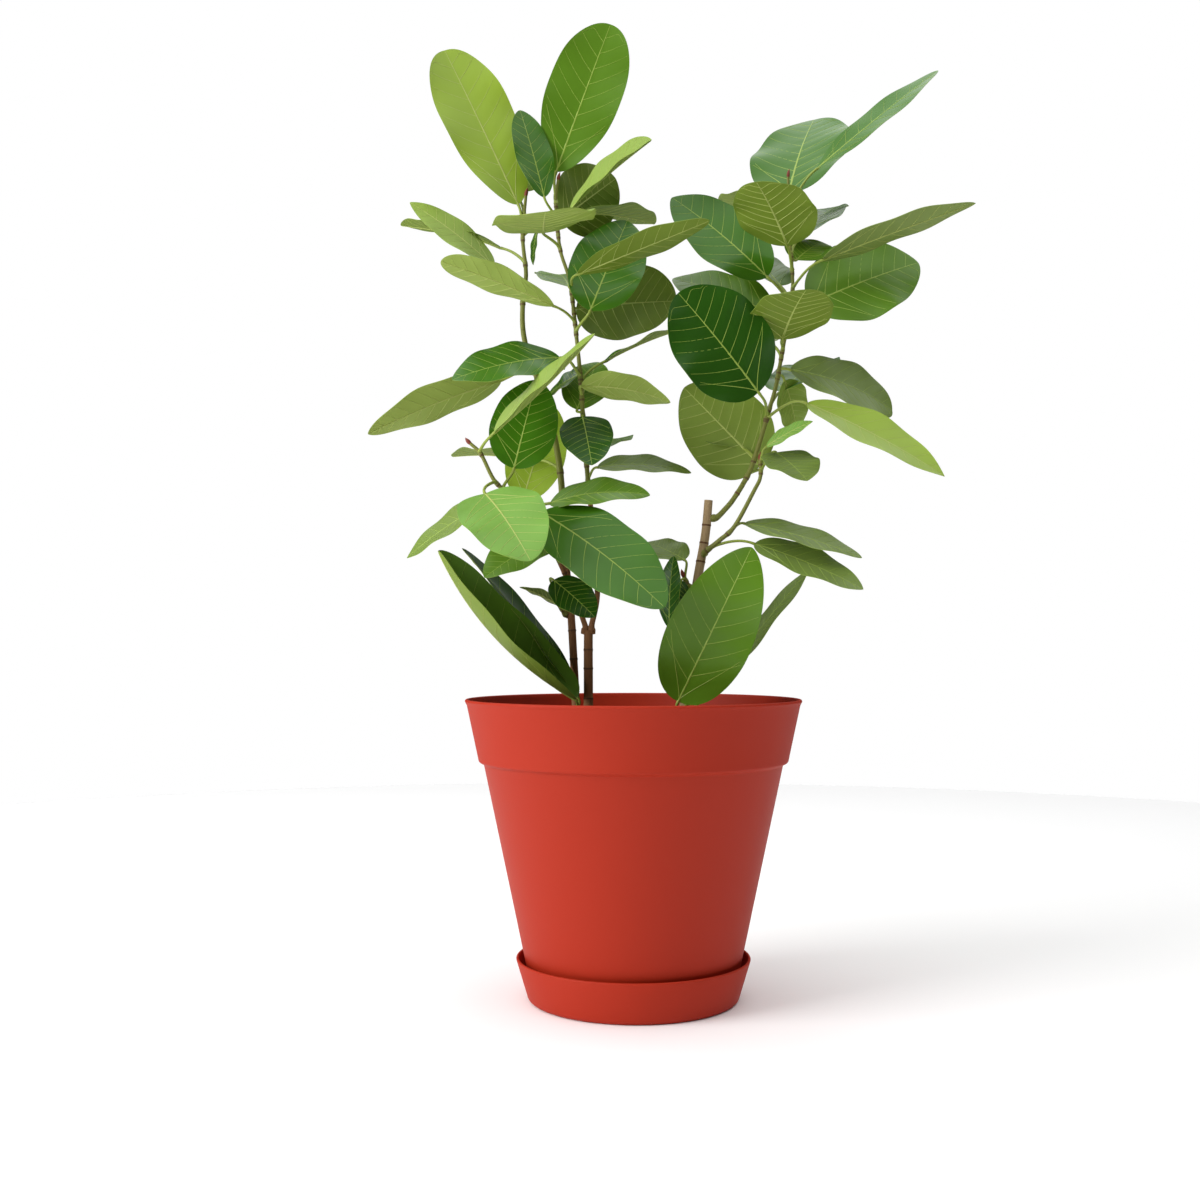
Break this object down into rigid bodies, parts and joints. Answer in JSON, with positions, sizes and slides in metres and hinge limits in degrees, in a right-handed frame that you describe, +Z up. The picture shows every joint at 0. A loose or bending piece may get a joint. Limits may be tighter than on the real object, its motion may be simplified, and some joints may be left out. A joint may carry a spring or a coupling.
{
  "type": "potted banyan",
  "caption": "Young banyan: slender forked stems with big oval leaves on long shoots, growing in a tapered plastic pot on a saucer.",
  "frame": {"origin": "middle of the saucer's flat underside, on the pot's axis", "axes": "+Z up along the pot's axis, +X to the right and +Y to the back as the picture sees the plant"},
  "size_m": [0.5437, 0.3, 0.878],
  "materials": {
    "pot_plastic": "matte",
    "soil": "matte",
    "bark": "matte",
    "leaf": "satin"
  },
  "bodies": {
    "root": {"saucer": "pot_plastic", "pot": "pot_plastic", "soil": "soil", "trunk_left": "bark", "trunk_right": "bark", "stem_left_outer": "bark", "bough_left_inner": "bark", "bough_left_side": "bark", "bough_right_main": "bark", "leaves_left_foot": "leaf", "leaves_left_node": "leaf", "leaves_left_low": "leaf", "leaves_left_middle": "leaf", "leaves_left_crown": "leaf", "leaves_left_outer": "leaf", "leaves_left_tip": "leaf", "leaves_right_foot": "leaf", "leaves_right_inner": "leaf", "leaves_right_low": "leaf", "leaves_right_middle": "leaf", "leaves_right_crown": "leaf"}
  },
  "joints": []
}
